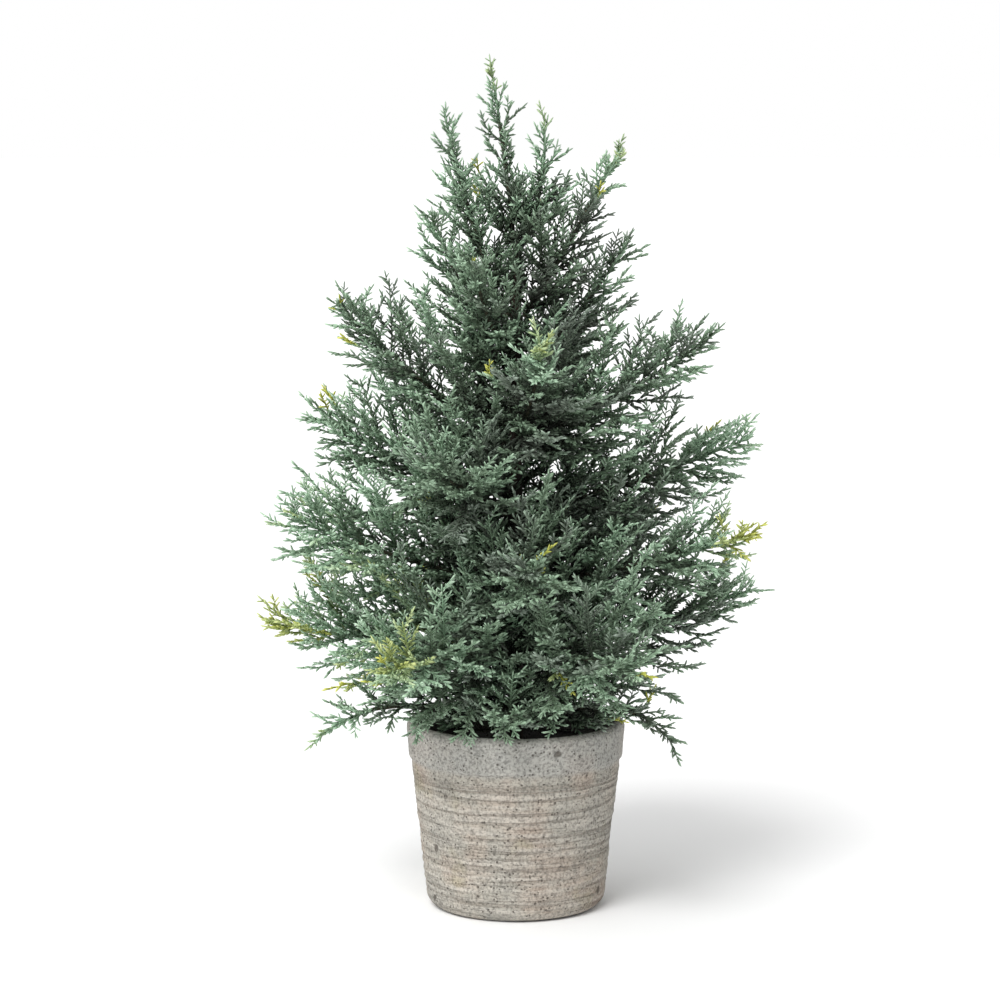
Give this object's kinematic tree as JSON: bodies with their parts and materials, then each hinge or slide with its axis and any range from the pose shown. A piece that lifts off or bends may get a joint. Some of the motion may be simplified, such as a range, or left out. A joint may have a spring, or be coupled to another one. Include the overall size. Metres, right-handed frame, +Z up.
{
  "type": "artificial tabletop tree",
  "caption": "Small artificial conifer with bendable wire branches of moulded blue-green foliage on a trunk, standing in a round tapered cement pot with a raised rim band.",
  "frame": {"origin": "centre of the pot's flat underside", "axes": "+Z up along the trunk, -Y towards the front, +X to the right seen from the front"},
  "size_m": [0.3013, 0.2622, 0.5067],
  "materials": {
    "cement": "matte",
    "plaster": "matte",
    "foam": "matte",
    "soil": "matte",
    "steel": "satin",
    "bark": "matte",
    "branch_wire": "matte",
    "foliage": "matte"
  },
  "bodies": {
    "pot_and_trunk": {"pot": "cement", "ballast_plug": "plaster", "foam_block": "foam", "soil_cover": "soil", "trunk_rod": "steel", "trunk_sleeve": "bark"},
    "skirt_1_branch": {"skirt_1_wire": "branch_wire", "skirt_1_foliage": "foliage"},
    "skirt_2_branch": {"skirt_2_wire": "branch_wire", "skirt_2_foliage": "foliage"},
    "skirt_3_branch": {"skirt_3_wire": "branch_wire", "skirt_3_foliage": "foliage"},
    "skirt_4_branch": {"skirt_4_wire": "branch_wire", "skirt_4_foliage": "foliage"},
    "low_1_branch": {"low_1_wire": "branch_wire", "low_1_foliage": "foliage"},
    "low_2_branch": {"low_2_wire": "branch_wire", "low_2_foliage": "foliage"},
    "low_3_branch": {"low_3_wire": "branch_wire", "low_3_foliage": "foliage"},
    "low_4_branch": {"low_4_wire": "branch_wire", "low_4_foliage": "foliage"},
    "low_5_branch": {"low_5_wire": "branch_wire", "low_5_foliage": "foliage"},
    "lower_middle_1_branch": {"lower_middle_1_wire": "branch_wire", "lower_middle_1_foliage": "foliage"},
    "lower_middle_2_branch": {"lower_middle_2_wire": "branch_wire", "lower_middle_2_foliage": "foliage"},
    "lower_middle_3_branch": {"lower_middle_3_wire": "branch_wire", "lower_middle_3_foliage": "foliage"},
    "lower_middle_4_branch": {"lower_middle_4_wire": "branch_wire", "lower_middle_4_foliage": "foliage"},
    "middle_1_branch": {"middle_1_wire": "branch_wire", "middle_1_foliage": "foliage"},
    "middle_2_branch": {"middle_2_wire": "branch_wire", "middle_2_foliage": "foliage"},
    "middle_3_branch": {"middle_3_wire": "branch_wire", "middle_3_foliage": "foliage"},
    "middle_4_branch": {"middle_4_wire": "branch_wire", "middle_4_foliage": "foliage"},
    "upper_middle_1_branch": {"upper_middle_1_wire": "branch_wire", "upper_middle_1_foliage": "foliage"},
    "upper_middle_2_branch": {"upper_middle_2_wire": "branch_wire", "upper_middle_2_foliage": "foliage"},
    "upper_middle_3_branch": {"upper_middle_3_wire": "branch_wire", "upper_middle_3_foliage": "foliage"},
    "upper_middle_4_branch": {"upper_middle_4_wire": "branch_wire", "upper_middle_4_foliage": "foliage"},
    "upper_1_branch": {"upper_1_wire": "branch_wire", "upper_1_foliage": "foliage"},
    "upper_2_branch": {"upper_2_wire": "branch_wire", "upper_2_foliage": "foliage"},
    "upper_3_branch": {"upper_3_wire": "branch_wire", "upper_3_foliage": "foliage"},
    "crown_1_branch": {"crown_1_wire": "branch_wire", "crown_1_foliage": "foliage"},
    "crown_2_branch": {"crown_2_wire": "branch_wire", "crown_2_foliage": "foliage"},
    "leader": {"leader_wire": "branch_wire", "leader_foliage": "foliage"}
  },
  "joints": [
    {"name": "skirt_1_bend", "type": "hinge", "parent": "pot_and_trunk", "child": "skirt_1_branch", "pos_m": [-0.00636, -0.00283, 0.12019], "axis": [-0.4067, 0.9135, 0], "range_deg": [-4, 12]},
    {"name": "skirt_2_bend", "type": "hinge", "parent": "pot_and_trunk", "child": "skirt_2_branch", "pos_m": [-0.00049, -0.00694, 0.12019], "axis": [-0.9976, 0.0698, 0], "range_deg": [-4, 12]},
    {"name": "skirt_3_bend", "type": "hinge", "parent": "pot_and_trunk", "child": "skirt_3_branch", "pos_m": [0.0057, -0.00399, 0.12019], "axis": [-0.5736, -0.8192, 0], "range_deg": [-4, 12]},
    {"name": "skirt_4_bend", "type": "hinge", "parent": "pot_and_trunk", "child": "skirt_4_branch", "pos_m": [0.00215, 0.00662, 0.12019], "axis": [0.9511, -0.309, 0], "range_deg": [-4, 12]},
    {"name": "low_1_bend", "type": "hinge", "parent": "pot_and_trunk", "child": "low_1_branch", "pos_m": [-0.00678, 0.00024, 0.15432], "axis": [0.0349, 0.9994, 0], "range_deg": [-10, 12]},
    {"name": "low_2_bend", "type": "hinge", "parent": "pot_and_trunk", "child": "low_2_branch", "pos_m": [-0.0036, -0.00575, 0.15432], "axis": [-0.848, 0.5299, 0], "range_deg": [-10, 12]},
    {"name": "low_3_bend", "type": "hinge", "parent": "pot_and_trunk", "child": "low_3_branch", "pos_m": [0.00339, -0.00588, 0.15432], "axis": [-0.866, -0.5, 0], "range_deg": [-10, 12]},
    {"name": "low_4_bend", "type": "hinge", "parent": "pot_and_trunk", "child": "low_4_branch", "pos_m": [0.00678, 0.00036, 0.15432], "axis": [0.0523, -0.9986, 0], "range_deg": [-10, 12]},
    {"name": "low_5_bend", "type": "hinge", "parent": "pot_and_trunk", "child": "low_5_branch", "pos_m": [-0.0021, 0.00645, 0.15432], "axis": [0.9511, 0.309, 0], "range_deg": [-10, 12]},
    {"name": "lower_middle_1_bend", "type": "hinge", "parent": "pot_and_trunk", "child": "lower_middle_1_branch", "pos_m": [-0.00636, -0.0017, 0.1939], "axis": [-0.2588, 0.9659, 0], "range_deg": [-12, 12]},
    {"name": "lower_middle_2_bend", "type": "hinge", "parent": "pot_and_trunk", "child": "lower_middle_2_branch", "pos_m": [0.00034, -0.00657, 0.1939], "axis": [-0.9986, -0.0523, 0], "range_deg": [-12, 12]},
    {"name": "lower_middle_3_bend", "type": "hinge", "parent": "pot_and_trunk", "child": "lower_middle_3_branch", "pos_m": [0.00629, -0.00192, 0.1939], "axis": [-0.2924, -0.9563, 0], "range_deg": [-12, 12]},
    {"name": "lower_middle_4_bend", "type": "hinge", "parent": "pot_and_trunk", "child": "lower_middle_4_branch", "pos_m": [0.00349, 0.00558, 0.1939], "axis": [0.848, -0.5299, 0], "range_deg": [-12, 12]},
    {"name": "middle_1_bend", "type": "hinge", "parent": "pot_and_trunk", "child": "middle_1_branch", "pos_m": [0.00627, 0.00111, 0.2354], "axis": [0.1736, -0.9848, 0], "range_deg": [-12, 12]},
    {"name": "middle_2_bend", "type": "hinge", "parent": "pot_and_trunk", "child": "middle_2_branch", "pos_m": [-0.00111, 0.00627, 0.2354], "axis": [0.9848, 0.1736, 0], "range_deg": [-12, 12]},
    {"name": "middle_3_bend", "type": "hinge", "parent": "pot_and_trunk", "child": "middle_3_branch", "pos_m": [-0.00615, 0.00165, 0.2354], "axis": [0.2588, 0.9659, 0], "range_deg": [-12, 12]},
    {"name": "middle_4_bend", "type": "hinge", "parent": "pot_and_trunk", "child": "middle_4_branch", "pos_m": [-0.00299, -0.00562, 0.2354], "axis": [-0.8829, 0.4695, 0], "range_deg": [-12, 12]},
    {"name": "upper_middle_1_bend", "type": "hinge", "parent": "pot_and_trunk", "child": "upper_middle_1_branch", "pos_m": [0.00578, -0.0021, 0.27744], "axis": [-0.342, -0.9397, 0], "range_deg": [-12, 12]},
    {"name": "upper_middle_2_bend", "type": "hinge", "parent": "pot_and_trunk", "child": "upper_middle_2_branch", "pos_m": [0.00289, 0.00543, 0.27744], "axis": [0.8829, -0.4695, 0], "range_deg": [-12, 12]},
    {"name": "upper_middle_3_bend", "type": "hinge", "parent": "pot_and_trunk", "child": "upper_middle_3_branch", "pos_m": [-0.006, -0.00138, 0.27744], "axis": [-0.225, 0.9744, 0], "range_deg": [-12, 12]},
    {"name": "upper_middle_4_bend", "type": "hinge", "parent": "pot_and_trunk", "child": "upper_middle_4_branch", "pos_m": [0.00107, -0.00606, 0.27744], "axis": [-0.9848, -0.1736, 0], "range_deg": [-12, 12]},
    {"name": "upper_1_bend", "type": "hinge", "parent": "pot_and_trunk", "child": "upper_1_branch", "pos_m": [0.00558, 0.00203, 0.31893], "axis": [0.342, -0.9397, 0], "range_deg": [-12, 12]},
    {"name": "upper_2_bend", "type": "hinge", "parent": "pot_and_trunk", "child": "upper_2_branch", "pos_m": [-0.00487, 0.00341, 0.31893], "axis": [0.5736, 0.8192, 0], "range_deg": [-12, 12]},
    {"name": "upper_3_bend", "type": "hinge", "parent": "pot_and_trunk", "child": "upper_3_branch", "pos_m": [-0.00251, -0.00538, 0.31893], "axis": [-0.9063, 0.4226, 0], "range_deg": [-12, 12]},
    {"name": "crown_1_bend", "type": "hinge", "parent": "pot_and_trunk", "child": "crown_1_branch", "pos_m": [-0.00559, -0.00139, 0.35361], "axis": [-0.2419, 0.9703, 0], "range_deg": [-10, 5]},
    {"name": "crown_2_bend", "type": "hinge", "parent": "pot_and_trunk", "child": "crown_2_branch", "pos_m": [0.00567, -0.001, 0.35361], "axis": [-0.1736, -0.9848, 0], "range_deg": [-10, 5]},
    {"name": "leader_bend", "type": "hinge", "parent": "pot_and_trunk", "child": "leader", "pos_m": [0, 0, 0.3874], "axis": [0, 1, 0], "range_deg": [-8, 8]}
  ]
}
